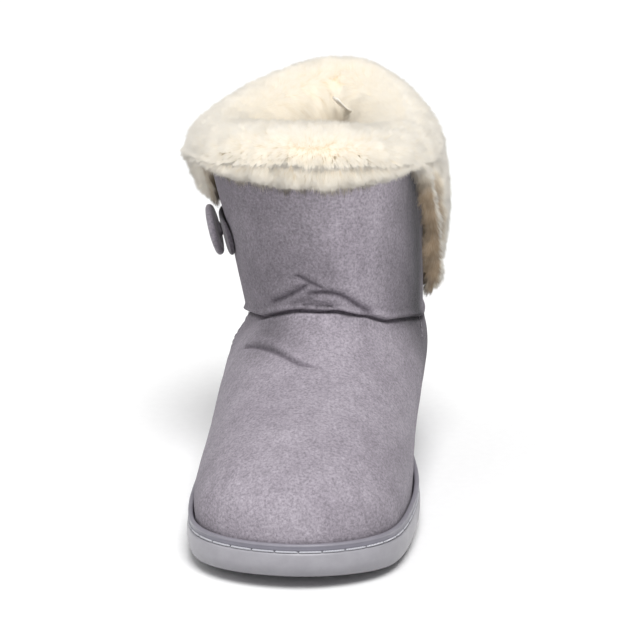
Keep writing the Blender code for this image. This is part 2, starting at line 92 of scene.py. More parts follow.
# %% [markdown]
# ## Floor and light
#
# A catalogue picture like this is lit by big soft boxes over a white sweep. A large soft key stands high at the front
# right, and a weak one fills the left. They are sun lamps with a wide angle, so the sweep is lit evenly out to its
# far end. Nothing stands at the inner side, so the shaft darkens where it turns away there.

# %% Floor, lamps and sky
def add_sun(name, azimuth, height, spread, power):
    """A soft lamp far away. Azimuth 0 is in front of the toe and 90 at the inner side, in degrees."""
    data = bpy.data.lights.new(name, "SUN")
    data.energy = power
    data.angle = math.radians(spread)
    lamp = bpy.data.objects.new(name, data)
    around, up = math.radians(azimuth), math.radians(height)
    towards = Vector((math.sin(around) * math.cos(up), -math.cos(around) * math.cos(up), math.sin(up)))
    lamp.location = towards * 2.0
    lamp.rotation_euler = (-towards).to_track_quat("-Z", "Y").to_euler()
    bpy.context.scene.collection.objects.link(lamp)
    return lamp


add_sun("key_box", 14.0, 60.0, 30.0, 3.0)
add_sun("fill_box", -70.0, 36.0, 60.0, 0.45)

sky = bpy.data.worlds.new("studio_sky")
sky.use_nodes = True
sky.node_tree.nodes["Background"].inputs["Color"].default_value = (1.0, 1.0, 1.0, 1.0)
sky.node_tree.nodes["Background"].inputs["Strength"].default_value = 0.30
bpy.context.scene.world = sky
bpy.context.scene.view_settings.view_transform = "Standard"

floor_shape = bmesh.new()
bmesh.ops.create_circle(floor_shape, cap_ends=True, segments=96, radius=6.0)
floor_mesh = bpy.data.meshes.new("floor")
floor_shape.to_mesh(floor_mesh)
floor_shape.free()
floor = bpy.data.objects.new("floor", floor_mesh)
bpy.context.scene.collection.objects.link(floor)
floor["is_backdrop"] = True

# %% [markdown]
# ## Finishes
#
# Every finish is one Principled shader. A few small helpers keep the node trees short: `noise_field` reads a pattern
# in the shoe's own coordinates, `ramp` turns a number into colours, and `add_bump` raises a relief from a number.

# %% Helpers for finishes
def new_finish(name, roughness, **sockets):
    """A material with one Principled shader whose fixed values are set on its own sockets."""
    material = bpy.data.materials.new(name)
    material.use_nodes = True
    shader = material.node_tree.nodes["Principled BSDF"]
    shader.inputs["Roughness"].default_value = roughness
    for socket, value in sockets.items():
        shader.inputs[socket.replace("_", " ")].default_value = value
    return material, material.node_tree, shader


def add_node(tree, kind, **values):
    """A node with its inputs set by name; an input given as a socket is linked."""
    made = tree.nodes.new(kind)
    for name, value in values.items():
        if name.startswith("set_"):
            setattr(made, name[4:], value)
            continue
        socket = made.inputs[int(name[1:])] if name[0] == "i" and name[1:].isdigit() else made.inputs[name]
        if isinstance(value, bpy.types.NodeSocket):
            tree.links.new(value, socket)
        else:
            socket.default_value = value
    return made


def place_of(tree, stretch=(1.0, 1.0, 1.0), turn=(0.0, 0.0, 0.0)):
    """Object coordinates, turned and stretched."""
    where = tree.nodes.new("ShaderNodeTexCoord").outputs["Object"]
    return add_node(tree, "ShaderNodeMapping", Vector=where, Scale=stretch, Rotation=turn).outputs["Vector"]


def noise_field(tree, size, detail=3.0, rough=0.55, swirl=0.0, **where):
    """A cloudy number from 0 to 1 whose grains are about that size in metres."""
    return add_node(
        tree, "ShaderNodeTexNoise", Vector=place_of(tree, **where), Scale=1.0 / size, Detail=detail,
        Roughness=rough, Distortion=swirl,
    ).outputs["Fac"]


def ramp(tree, number, *stops):
    """Colours or greys for a number; a stop is (place, colour) with the colour in linear light."""
    made = add_node(tree, "ShaderNodeValToRGB", Fac=number)
    elements = made.color_ramp.elements
    while len(elements) < len(stops):
        elements.new(0.5)
    for element, (at, colour) in zip(elements, stops):
        element.position = at
        element.color = (*colour, 1.0) if isinstance(colour, tuple) else (colour, colour, colour, 1.0)
    return made.outputs["Color"]


def blend(tree, share, first, second, way="MIX"):
    """Two colours mixed."""
    made = tree.nodes.new("ShaderNodeMix")
    made.data_type = "RGBA"
    made.blend_type = way
    for index, value in ((0, share), (6, first), (7, second)):
        if isinstance(value, bpy.types.NodeSocket):
            tree.links.new(value, made.inputs[index])
        else:
            made.inputs[index].default_value = (*value, 1.0) if isinstance(value, tuple) else value
    return made.outputs[2]


def sum_of(tree, first, second, share):
    """first + second * share, for reliefs."""
    return add_node(
        tree, "ShaderNodeMath", set_operation="MULTIPLY_ADD", i0=second, i1=share, i2=first
    ).outputs[0]


def add_bump(tree, shader, height, distance, strength=1.0):
    """Relief of that depth in metres where the number goes from 0 to 1."""
    made = add_node(tree, "ShaderNodeBump", Height=height, Distance=distance, Strength=strength)
    tree.links.new(made.outputs["Normal"], shader.inputs["Normal"])


def grey(value):
    """Linear light from a colour as it is read off a screen, 0 to 255."""
    return tuple(((c / 255 + 0.055) / 1.055) ** 2.4 if c > 10 else c / 3294.6 for c in value)


floor_finish, tree, shader = new_finish("white_sweep", 0.9)
shader.inputs["Base Color"].default_value = (0.93, 0.93, 0.93, 1.0)
paper = ramp(tree, noise_field(tree, 0.004, detail=2.0), (0.3, 0.92), (0.7, 0.94))
tree.links.new(paper, shader.inputs["Base Color"])
floor_mesh.materials.append(floor_finish)

# %% [markdown]
# ## Copies of the solids
#
# A solid arrives as loose triangles. To dress it, its copy is merged, its triangles are joined to quads, and a
# Catmull-Clark subdivision rounds it. Sharp edges of the tread and of tape get a crease first, so they stay sharp.

# %% Helpers for copies
def solid_copy(node_name, join=math.radians(40)):
    """A merged, quad copy of a solid as a bmesh."""
    shape = bmesh.new()
    shape.from_mesh(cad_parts[node_name].data)
    bmesh.ops.remove_doubles(shape, verts=shape.verts, dist=0.00002)
    bmesh.ops.join_triangles(
        shape, faces=shape.faces, angle_face_threshold=join, angle_shape_threshold=math.radians(70),
        cmp_seam=False, cmp_sharp=False, cmp_uvs=False, cmp_vcols=False, cmp_materials=False,
    )
    return shape


def new_piece(name, shape, finishes, stands_for=None):
    """A finished object from a bmesh, riding on the shoe's one body."""
    mesh = bpy.data.meshes.new(name)
    shape.to_mesh(mesh)
    shape.free()
    mesh.polygons.foreach_set("use_smooth", [True] * len(mesh.polygons))
    for finish in finishes:
        mesh.materials.append(finish)
    made = bpy.data.objects.new(name, mesh)
    bpy.context.scene.collection.objects.link(made)
    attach(made, "root")
    if stands_for:
        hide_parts(stands_for)
    return made


def surface_of(piece):
    """The piece's surface, for rays and nearest points."""
    return BVHTree.FromObject(piece, bpy.context.evaluated_depsgraph_get())


def faces_at(piece, places):
    """The piece's faces on given places, for rays and nearest points."""
    return BVHTree.FromPolygons([Vector(spot) for spot in places], [tuple(f.vertices) for f in piece.data.polygons])


def tree_of(spots):
    """A search tree of places."""
    tree = KDTree(len(spots))
    for index, spot in enumerate(spots):
        tree.insert(spot, index)
    tree.balance()
    return tree


def keep_sharp(shape, angle, where=lambda place: True):
    """A full crease on edges that turn more than an angle, where a test of the edge's middle holds."""
    layer = shape.edges.layers.float.get("crease_edge") or shape.edges.layers.float.new("crease_edge")
    for edge in shape.edges:
        middle = (edge.verts[0].co + edge.verts[1].co) / 2
        if len(edge.link_faces) == 2 and where(middle) and edge.calc_face_angle(0.0) > angle:
            edge[layer] = 1.0


def bake_modifiers(piece):
    """The modifiers' result becomes the piece's own mesh."""
    graph = bpy.context.evaluated_depsgraph_get()
    baked = bpy.data.meshes.new_from_object(
        piece.evaluated_get(graph), preserve_all_data_layers=True, depsgraph=graph
    )
    old, name = piece.data, piece.data.name
    piece.modifiers.clear()
    piece.data = baked
    bpy.data.meshes.remove(old)
    baked.name = name


def round_off(piece, levels):
    """Subdivides a piece for good."""
    modifier = piece.modifiers.new("round", "SUBSURF")
    modifier.levels = modifier.render_levels = levels
    bake_modifiers(piece)
    piece.data.polygons.foreach_set("use_smooth", [True] * len(piece.data.polygons))


def points_of(piece):
    """The piece's vertices and their normals, as two arrays."""
    mesh = piece.data
    places = np.empty(len(mesh.vertices) * 3)
    mesh.vertices.foreach_get("co", places)
    normals = np.empty(len(mesh.vertices) * 3)
    mesh.vertex_normals.foreach_get("vector", normals)
    return places.reshape(-1, 3), normals.reshape(-1, 3)


def set_points(piece, places):
    """Moves the piece's vertices."""
    piece.data.vertices.foreach_set("co", places.ravel())
    piece.data.update()


def step_up(values, start, end):
    """0 before start, 1 after end, and a smooth rise between them."""
    t = np.clip((values - start) / (end - start), 0.0, 1.0)
    return t * t * (3.0 - 2.0 * t)


def bell(values, middle, spread):
    """1 at the middle, falling off smoothly on both sides."""
    return np.exp(-(((values - middle) / spread) ** 2))


def add_number(piece, name, values):
    """A number at every vertex, for the finish to read."""
    layer = piece.data.attributes.new(name, "FLOAT", "POINT")
    layer.data.foreach_set("value", np.asarray(values, dtype=float))


# %% [markdown]
# ## Suede upper
#
# The vamp, the shaft and the heel quarter are cut from one grey suede. It is soft: the shaft sags and bulges over
# the ankle seam, small folds run into that seam, and one long fold crosses the vamp. Each fold is a line of points
# on the shoe, in millimetres. Vertices near it sink by the fold's depth, and those beside it swell, more on the side
# that hangs over. The ankle seam needs no such list, because the solid is already pinched there: a ray from each
# side finds the height where the wall is hollow.

# %% The creases, in millimetres
# Each row is (name, depth, width, swell above, swell below, points from end to end)
CREASES = (
    ("vamp_fold", 1.0, 1.5, 0.7, 0.3, (
        (-33.2, 10.0, 64.5), (-29.2, 2.0, 66.8), (-20.3, -10.5, 69.6), (-12.8, -19.7, 70.6), (-5.8, -28.0, 70.8),
        (0.7, -33.7, 70.0), (5.6, -35.4, 69.9), (11.6, -36.8, 69.0))),
    ("fold_a", 0.9, 1.4, 0.5, 0.6, (
        (-16.1, -2.9, 87.2), (-8.8, -9.3, 91.6), (-2.5, -12.5, 95.7), (1.2, -13.8, 98.4), (3.7, -14.2, 100.0))),
    ("fold_b", 0.8, 1.3, 0.4, 0.3, (
        (-4.1, -12.7, 103.1), (0.1, -14.0, 101.7), (4.8, -14.3, 99.4), (8.9, -13.9, 97.8))),
    ("fold_c", 1.1, 1.5, 0.6, 0.9, (
        (1.2, -13.4, 94.8), (8.3, -13.7, 95.7), (12.9, -13.0, 95.2), (17.5, -11.3, 93.4), (22.0, -8.7, 89.6),
        (26.4, -5.0, 85.9), (30.7, -0.5, 82.6))),
)
HEEL_SEAMS = (
    ("heel_seam_inner", 0.5, 0.8, 0.15, 0.15, (
        (46.4, 44.0, 68.0), (47.0, 36.0, 56.0), (46.8, 22.0, 44.0), (45.4, 6.0, 33.0), (44.4, -4.0, 26.0))),
    ("heel_seam_outer", 0.5, 0.8, 0.15, 0.15, (
        (-30.7, 46.0, 68.0), (-37.2, 40.0, 56.0), (-38.7, 26.0, 44.0), (-37.7, 10.0, 33.0), (-37.2, 0.0, 26.0))),
    ("back_seam", 0.4, 0.8, 0.1, 0.1, (
        (6.0, 117.0, 66.0), (6.0, 121.0, 54.0), (6.0, 124.0, 42.0), (6.0, 125.5, 30.0))),
)
ANKLE_SEAM_PRESS = (1.5, 1.0, 1.3, 0.3)  # depth, width, swell above, swell below
SEAM_MIDDLE = (0.0060, 0.0540)  # x and y of the shaft's middle at the seam
SEAM_FRONT = 0.0879  # the seam's height at the front
SEAM_FALL = 0.0201  # how much lower it is at the sides and back
SEARCH_REACH = 0.0090
SEARCH_STEP = 0.0004
HOLLOW_STEPS = 5  # a wall is hollow at a height if it stands out this many steps above and below


def pinch_line(surface, step=4.0):
    """The upper's pinch all round the ankle, from heel to heel, as points in millimetres."""
    points = []
    for degrees in np.arange(-180.0, 180.1, step):
        around = math.radians(degrees)
        way = Vector((math.sin(around), -math.cos(around), 0.0))
        guess = SEAM_FRONT - SEAM_FALL * min(1.0, 1.25 * abs(math.sin(around / 2)) ** 1.6)
        rows = []
        for height in np.arange(guess - SEARCH_REACH, guess + SEARCH_REACH, SEARCH_STEP):
            hit = surface.ray_cast(Vector((*SEAM_MIDDLE, height)) + way * 0.2, -way)[0]
            rows.append((hit.to_2d() - Vector(SEAM_MIDDLE)).length)
        radius = np.array(rows)
        hollow = (radius[:-2 * HOLLOW_STEPS] + radius[2 * HOLLOW_STEPS:]) / 2 - radius[HOLLOW_STEPS:-HOLLOW_STEPS]
        best = HOLLOW_STEPS + int(hollow.argmax())
        points.append((degrees, guess - SEARCH_REACH + SEARCH_STEP * best, radius[best]))
    turned, heights, radii = np.array(points).T
    padded = np.concatenate([heights[-4:-1], heights, heights[1:4]])
    heights = np.array([np.median(padded[k:k + 7]) for k in range(len(heights))])
    around = np.radians(turned)
    return np.column_stack([
        SEAM_MIDDLE[0] + np.sin(around) * radii, SEAM_MIDDLE[1] - np.cos(around) * radii, heights
    ]) / MM


def fine_line(points, step=0.6):
    """A smooth line through points given in millimetres, as places in metres about a step apart."""
    knots = np.array(points, dtype=float)
    lengths = np.concatenate([[0.0], np.cumsum(np.linalg.norm(np.diff(knots, axis=0), axis=1))])
    count = max(int(lengths[-1] / step), 4)
    along = np.linspace(0.0, lengths[-1], count)
    padded = np.vstack([2 * knots[0] - knots[1], knots, 2 * knots[-1] - knots[-2]])
    spot = np.clip(np.searchsorted(lengths, along, side="right") - 1, 0, len(knots) - 2)
    t = ((along - lengths[spot]) / (lengths[spot + 1] - lengths[spot]))[:, None]
    a, b, c, d = (padded[spot + k] for k in range(4))
    line = 0.5 * (2 * b + (c - a) * t + (2 * a - 5 * b + 4 * c - d) * t**2 + (3 * b - 3 * c + d - a) * t**3)
    return line * MM


# %% [markdown]
# The copy of the upper is rounded first. The zone of the folds is then cut finer, so that a fold 1.5 mm wide has
# several vertices across it. The wall's inner skin, 3 mm below, is left as it is.

# %% The suede's shape
SKIN_DEPTH = 2.2 * MM
CUT_REACHES = (0.0110, 0.0070, 0.0035)
SHORTEST_EDGE = 0.6 * MM


def make_suede():
    """The upper's copy, with a finer mesh round its folds."""
    shape = solid_copy("upper")
    piece = new_piece("suede_upper", shape, [], "upper")
    round_off(piece, 2)
    seam = ("ankle_seam", *ANKLE_SEAM_PRESS, pinch_line(surface_of(piece)))
    tree = tree_of(np.vstack([fine_line(row[-1], 2.0) for row in (seam,) + CREASES + HEEL_SEAMS]))
    shape = bmesh.new()
    shape.from_mesh(piece.data)
    for reach in CUT_REACHES:
        near = set()
        for v in shape.verts:
            spot, _, distance = tree.find(v.co)
            if distance < reach and abs((v.co - spot).dot(v.normal)) < SKIN_DEPTH:
                near.add(v)
        edges = [e for e in shape.edges if near.issuperset(e.verts) and e.calc_length() > SHORTEST_EDGE]
        bmesh.ops.subdivide_edges(shape, edges=edges, cuts=1, use_grid_fill=True, smooth=0.0)
    bmesh.ops.triangulate(shape, faces=[f for f in shape.faces if len(f.verts) > 4])
    shape.to_mesh(piece.data)
    shape.free()
    piece.data.polygons.foreach_set("use_smooth", [True] * len(piece.data.polygons))
    return piece, seam


suede_upper, ANKLE_SEAM = make_suede()
print("seam height in mm:", [round(float(spot[2]), 1) for spot in ANKLE_SEAM[-1][::9]])
print("suede has", len(suede_upper.data.vertices), "vertices")

# %% [markdown]
# Only the outer skin gets folds. A ray that leaves the inner skin meets the other side of the shoe, so a vertex whose
# ray meets nothing near is on the outer skin.

# %% Tell the two skins apart
RAY_START = 0.4 * MM
WIDEST_INSIDE = 80.0 * MM


def on_outer_skin(piece):
    """True for each vertex on a shell's outer skin."""
    places, normals = points_of(piece)
    surface = faces_at(piece, places)
    rays = [(Vector(place + normal * RAY_START), Vector(normal)) for place, normal in zip(places, normals)]
    hits = [surface.ray_cast(*ray) for ray in rays]
    return np.array([place is None or distance > WIDEST_INSIDE for place, _, _, distance in hits])


outer_skin = on_outer_skin(suede_upper)
print("outer skin:", int(outer_skin.sum()), "of", len(outer_skin))

# %% [markdown]
# Now the vertices move. A crease's profile is a narrow valley with a swell on each side, and it fades in and out at
# its ends. Broad, shallow dents from slow noise take away the machined look.

# %% Press the creases in
END_SHARE = 0.12  # a fold fades in over this share of its length
SWELL_ENDS, SWELL_SHARE = 0.15, 0.30  # the swell left at the ends, and the share over which it rises
SWELL_PLACE, SWELL_SPREAD = 2.2, 1.3  # in widths of the crease
DIP_SPREAD, SHADE_SPREAD = 0.75, 0.80
CREASE_REACH = 5.0
DARK_DEPTH = 1.4  # a crease this deep, in millimetres, is fully shaded
DENT_DEPTH = 0.45 * MM


def dents_at(place):
    """Slow noise, about -1 to 1."""
    return noise.noise(Vector(place) * 34.0) + 0.5 * noise.noise(Vector(place) * 75.0 + Vector((3, 1, 2)))


def press_creases(piece, rows, outside):
    """Sinks and swells the outer skin round each crease and returns painted shade for each vertex, by how deep in a
    crease it is.
    """
    places, normals = points_of(piece)
    moved = np.zeros(len(places))
    shade = np.zeros(len(places))
    surface = faces_at(piece, places)
    for name, depth, width, above, below, points in rows:
        line = np.array([surface.find_nearest(Vector(spot))[0] for spot in fine_line(points)])
        near = tree_of(line)
        reach = width * CREASE_REACH * MM
        low, high = line.min(axis=0) - reach, line.max(axis=0) + reach
        picked = np.where(outside & np.all((places > low) & (places < high), axis=1))[0]
        for index in picked:
            spot, where, distance = near.find(places[index])
            if distance > reach:
                continue
            share = where / (len(line) - 1)
            to_end = min(share, 1.0 - share)
            fade = 1.0 if "seam" in name else min(1.0, to_end / END_SHARE)
            swelling = min(1.0, SWELL_ENDS + to_end / SWELL_SHARE)
            off = distance / (width * MM)
            swell = (above if places[index][2] > spot[2] else below) * bell(off, SWELL_PLACE, SWELL_SPREAD)
            dip = depth * bell(off, 0.0, DIP_SPREAD)
            moved[index] += fade * (swelling * swell - dip) * MM
            shade[index] = max(shade[index], fade * bell(off, 0.0, SHADE_SPREAD) * min(depth / DARK_DEPTH, 1.0))
    soft = np.where(outside, np.array([dents_at(place) for place in places]) * DENT_DEPTH, 0.0)
    set_points(piece, places + normals * (moved + soft)[:, None])
    return shade


crease_shade = press_creases(suede_upper, (ANKLE_SEAM,) + CREASES + HEEL_SEAMS, outer_skin)
add_number(suede_upper, "painted_crease_shade", crease_shade)
print("deepest shade in a fold:", round(float(crease_shade.max()), 2))

# %% [markdown]
# Light and shade are painted into the suede's colour. The shaft is painted darker than the vamp, as painted shade on
# its upright wall. A painted highlight crosses the shaft's front towards the inner side, and painted shade darkens the
# shaft along the inner side, both flanks of the vamp, a spot under the seam and the inner side of the heel quarter.
# Each vertex is told how light it is painted.

# %% Painted light and shade on the suede
SHAFT_MIDDLE = (0.006, 0.050)
SEAM_RADIUS = 0.063  # from the shaft's middle to the seam at the front
SEAM_BLUR = 1.5 * MM
# Painted shade: the shaft is painted darker than the vamp.
SHAFT_PAINTED_SHADE = 0.59
# A painted highlight across the shaft's front, and painted shade along its inner side.
PAINTED_HIGHLIGHT = (0.45, 19.0, 17.0)  # how much lighter, its middle and its spread round the shaft in degrees
PAINTED_SIDE_SHADE = (0.47, 70.0, 20.0)  # the same for how much darker
# Painted shade on the vamp's outer and inner flanks, where they turn from the light.
OUTER_SHADE, INNER_SHADE = 0.20, 0.18
HOLLOW_PLACE = np.array([-0.014, -0.010, 0.076])  # a shaded hollow on the vamp, under the seam
HOLLOW_SIZE = np.array([0.020, 0.016, 0.009])
HOLLOW_SHADE = 0.42
QUARTER_SHADE = 0.48  # along the inner side of the heel quarter


def painted_lightness(places, normals):
    """How light each vertex is painted, with a painted highlight and painted shade, about 0.1 to 1."""
    around = np.degrees(np.arctan2(places[:, 0] - SHAFT_MIDDLE[0], -(places[:, 1] - SHAFT_MIDDLE[1])))
    reach = np.clip((SEAM_MIDDLE[1] - places[:, 1]) / SEAM_RADIUS, -1.0, 1.0)
    seam_height = SEAM_FRONT - SEAM_FALL * (1.0 - reach**2)
    above = step_up(places[:, 2] - seam_height, -SEAM_BLUR, SEAM_BLUR)
    wave = np.array([noise.noise(Vector(p) * 40.0) for p in places])
    lighter, highlight_at, highlight_spread = PAINTED_HIGHLIGHT
    darker, side_shade_at, side_shade_spread = PAINTED_SIDE_SHADE
    shaft = SHAFT_PAINTED_SHADE + lighter * bell(around + 10.0 * wave, highlight_at, highlight_spread)
    shaft -= darker * bell(around, side_shade_at, side_shade_spread)
    vamp = 1.0 - OUTER_SHADE * step_up(-normals[:, 0], 0.25, 0.85) - INNER_SHADE * step_up(normals[:, 0], 0.35, 0.95)
    vamp -= HOLLOW_SHADE * bell(np.linalg.norm((places - HOLLOW_PLACE) / HOLLOW_SIZE, axis=1), 0.0, 1.0)
    vamp -= QUARTER_SHADE * step_up(places[:, 1], 0.000, 0.040) * step_up(places[:, 0], 0.020, 0.035)
    return vamp + (shaft - vamp) * above


painted_light_on_suede = painted_lightness(*points_of(suede_upper))
add_number(suede_upper, "nap_and_painted_light", painted_light_on_suede)
print("nap from", round(float(painted_light_on_suede.min()), 2), "to", round(float(painted_light_on_suede.max()), 2))

# %% [markdown]
# Microsuede is a short brushed nap. Up close it is a fine grain, with soft patches where the nap lies the other way.
# Its fibres catch light at a grazing angle, which the sheen sets. Folds are painted a little darker, as painted shade.

# %% Suede finish
suede, tree, shader = new_finish(
    "grey_microsuede", 0.92, Sheen_Weight=0.12, Sheen_Roughness=0.45, Specular_IOR_Level=0.15
)
shader.inputs["Sheen Tint"].default_value = (0.93, 0.92, 0.97, 1.0)
grain = noise_field(tree, 0.0011, detail=5.0, rough=0.7)
brushed = noise_field(
    tree, 0.0040, detail=4.0, rough=0.6, swirl=0.8, stretch=(1.0, 0.7, 0.45), turn=(0.0, 0.5, 0.3)
)
patches = noise_field(tree, 0.026, detail=3.0, rough=0.5, swirl=0.4)
ground = ramp(tree, patches, (0.30, grey((147, 140, 149))), (0.70, grey((164, 157, 166))))
fibres = ramp(tree, grain, (0.30, 0.62), (0.50, 1.00), (0.70, 1.38))
lay = ramp(tree, brushed, (0.35, 0.92), (0.65, 1.08))
colour = blend(tree, 1.0, blend(tree, 1.0, ground, fibres, "MULTIPLY"), lay, "MULTIPLY")
# Painted light and shade: the suede's vertex numbers multiply its colour.
nap_and_painted_light = add_node(tree, "ShaderNodeAttribute", set_attribute_name="nap_and_painted_light").outputs["Fac"]
colour = blend(tree, 1.0, colour, ramp(tree, nap_and_painted_light, (0.0, 0.0), (1.0, 1.0)), "MULTIPLY")
# Painted shade: creases are painted darker.
painted_crease_shade = add_node(tree, "ShaderNodeAttribute", set_attribute_name="painted_crease_shade").outputs["Fac"]
colour = blend(tree, painted_crease_shade, colour, blend(tree, 1.0, colour, (0.34, 0.32, 0.35), "MULTIPLY"))
tree.links.new(colour, shader.inputs["Base Color"])
add_bump(tree, shader, sum_of(tree, grain, brushed, 1.2), 0.00035)
suede_upper.data.materials.append(suede)

# %% [markdown]
# ## Outsole
#
# The cup sole is moulded rubber. Its wall has a bulging foot, a stitch groove, a recessed band and a thin lip. The
# copy is rounded with its tread edges kept sharp. The finish is told how high on the wall each vertex is, so that the
# band can be darker and the groove darker still, with painted shade in the groove.

# %% Outsole shape
TREAD_TOP = 2.2 * MM

outsole_shape = solid_copy("outsole", math.radians(25))
keep_sharp(outsole_shape, math.radians(40), lambda place: place.z < TREAD_TOP)
outsole = new_piece("rubber_outsole", outsole_shape, [], "outsole")
round_off(outsole, 2)
print("outsole has", len(outsole.data.vertices), "vertices")

# %% Where the wall is
SOLE_CENTRE = Vector((0.0060, 0.0, 0.0))
MIDDLE_LINE = 0.070  # half the length of the line from which the wall is looked for
PROBE_HEIGHT = 12.0 * MM
LIP_INSET = 1.9 * MM  # rays up and down start this far inside the wall's face

rubber_tree = surface_of(outsole)


def wall_at(angle, height):
    """The point on the sole's outer wall in a direction from the sole's middle line, at a height."""
    way = Vector((math.sin(angle), -math.cos(angle), 0.0))
    middle = SOLE_CENTRE + Vector((0.0, -math.cos(angle) * MIDDLE_LINE, height))
    hit = rubber_tree.ray_cast(middle + way * 0.3, -way)
    return hit[0], hit[1]


def wall_span(angle):
    """Lowest and highest height of the wall in a direction."""
    edge = wall_at(angle, PROBE_HEIGHT)[0]
    way = Vector((math.sin(angle), -math.cos(angle), 0.0))
    inside = edge - way * LIP_INSET
    top = rubber_tree.ray_cast(Vector((inside.x, inside.y, 0.06)), Vector((0, 0, -1)))[0]
    under = rubber_tree.ray_cast(Vector((inside.x, inside.y, -0.02)), Vector((0, 0, 1)))[0]
    return under.z, top.z


for degrees in (0, 90, 180, -90):
    print("wall at", degrees, [round(z / MM, 1) for z in wall_span(math.radians(degrees))])

# %% Tell the finish how high on the wall each vertex is
WALL_STEPS = 120
angles = np.linspace(-math.pi, math.pi, WALL_STEPS + 1)
spans = np.array([wall_span(a) for a in angles])
rubber_places, _ = points_of(outsole)
spot_angle = np.arctan2(
    rubber_places[:, 0] - SOLE_CENTRE.x,
    -(rubber_places[:, 1] - np.clip(rubber_places[:, 1] * 0.6, -MIDDLE_LINE, MIDDLE_LINE)),
)
low_here = np.interp(spot_angle, angles, spans[:, 0])
top_here = np.interp(spot_angle, angles, spans[:, 1])
share = (rubber_places[:, 2] - low_here) / (top_here - low_here)
add_number(outsole, "share", share)
print("share from", round(float(share.min()), 2), "to", round(float(share.max()), 2))

# %% Rubber finish
rubber, tree, shader = new_finish("grey_rubber", 0.36, Specular_IOR_Level=0.45, Coat_Weight=0.12, Coat_Roughness=0.25)
high = add_node(tree, "ShaderNodeAttribute", set_attribute_name="share").outputs["Fac"]
# The darkest stop, at 0.76, is painted shade in the stitch groove.
bands = ramp(
    tree, high,
    (0.00, grey((132, 130, 136))), (0.35, grey((152, 150, 156))), (0.72, grey((156, 154, 160))),
    (0.76, grey((84, 82, 90))), (0.815, grey((118, 116, 127))), (0.925, grey((124, 122, 133))),
    (0.95, grey((140, 137, 147))), (1.00, grey((134, 131, 140))),
)
dust = ramp(tree, noise_field(tree, 0.008, detail=5.0, rough=0.6), (0.35, 0.93), (0.65, 1.05))
tree.links.new(blend(tree, 1.0, bands, dust, "MULTIPLY"), shader.inputs["Base Color"])
pores = noise_field(tree, 0.0007, detail=2.0)
tree.links.new(ramp(tree, noise_field(tree, 0.012), (0.3, 0.32), (0.7, 0.46)), shader.inputs["Roughness"])
add_bump(tree, shader, sum_of(tree, pores, noise_field(tree, 0.014), 6.0), 0.00005)
outsole.data.materials.append(rubber)

# %% [markdown]
# ## Stitches
#
# A thick light thread runs in the groove: long stitches with a short dive between them. Each stitch is one short
# spline with a round bevel, thinner at both ends, so one curve object can hold them all before it becomes a mesh.

# %% Stitch helper
def thread(name, runs, radius, finish, ends=0.55):
    """Short lengths of thread, each a list of places in metres, as one mesh."""
    data = bpy.data.curves.new(name, "CURVE")
    data.dimensions = "3D"
    data.bevel_depth = radius
    data.bevel_resolution = 2
    data.use_fill_caps = True
    for run in runs:
        spline = data.splines.new("POLY")
        spline.points.add(len(run) - 1)
        for index, place in enumerate(run):
            spline.points[index].co = (*place, 1.0)
            spline.points[index].radius = ends if index in (0, len(run) - 1) else 1.0
    holder = bpy.data.objects.new(name, data)
    bpy.context.scene.collection.objects.link(holder)
    graph = bpy.context.evaluated_depsgraph_get()
    mesh = bpy.data.meshes.new_from_object(holder.evaluated_get(graph), depsgraph=graph)
    bpy.data.objects.remove(holder)
    bpy.data.curves.remove(data)
    shape = bmesh.new()
    shape.from_mesh(mesh)
    bpy.data.meshes.remove(mesh)
    return new_piece(name, shape, [finish])


cotton, tree, shader = new_finish("pale_thread", 0.75, Sheen_Weight=0.3)
twist = add_node(tree, "ShaderNodeTexWave", Vector=place_of(tree, turn=(0.4, 0.5, 0.6)), Scale=900.0, Distortion=1.0)
cord = ramp(tree, twist.outputs["Fac"], (0.1, grey((160, 160, 168))), (0.8, grey((206, 206, 213))))
tree.links.new(cord, shader.inputs["Base Color"])
add_bump(tree, shader, twist.outputs["Fac"], 0.0001)

# %% [markdown]
# The seams of the heel quarter are sewn in grey. Their stitches are short and lie just behind each seam, on the
# suede's finished surface.

# %% Seam stitches
grey_thread, tree, shader = new_finish("grey_thread", 0.8, Sheen_Weight=0.2)
strands = noise_field(tree, 0.0006)
strand_colour = ramp(tree, strands, (0.3, grey((118, 113, 120))), (0.7, grey((150, 145, 152))))
tree.links.new(strand_colour, shader.inputs["Base Color"])

BESIDE_SEAM = Vector((0.0, 0.0022, 0.0012))
SEAM_THREAD = 0.22 * MM
STITCH_STEPS, STITCH_LENGTH = 6, 5  # in half millimetres: from one stitch to the next, and one stitch with its ends

skin = surface_of(suede_upper)
seam_runs = []
for row in HEEL_SEAMS:
    nearest = [skin.find_nearest(Vector(spot) + BESIDE_SEAM) for spot in fine_line(row[-1], 0.5)]
    line = [place + normal * 0.00008 for place, normal, _, _ in nearest]
    for start in range(0, len(line) - STITCH_STEPS, STITCH_STEPS):
        seam_runs.append(line[start:start + STITCH_LENGTH])
seam_stitches = thread("seam_stitches", seam_runs, SEAM_THREAD, grey_thread)
print(len(seam_runs), "seam stitches")

# %% Sole stitches
STITCH_PITCH = 9.8 * MM
STITCH_SHARE = 0.775  # the groove's height as a share of the wall
STITCH_STAND = 0.28 * MM
STITCH_THREAD = 0.42 * MM
STITCH_PLACES = (0.03, 0.09, 0.30, 0.50, 0.70, 0.91, 0.97)

path = []
for angle in np.linspace(-math.pi, math.pi, 721)[:-1]:
    low, top = (float(np.interp(angle, angles, spans[:, k])) for k in (0, 1))
    place, normal = wall_at(angle, low + (top - low) * STITCH_SHARE)
    path.append(place + normal * STITCH_STAND)
path = np.array(path)
loop = np.vstack([path, path[:1]])
walked = np.concatenate([[0.0], np.cumsum(np.linalg.norm(np.diff(loop, axis=0), axis=1))])
stitch_count = round(walked[-1] / STITCH_PITCH)
pitch = walked[-1] / stitch_count


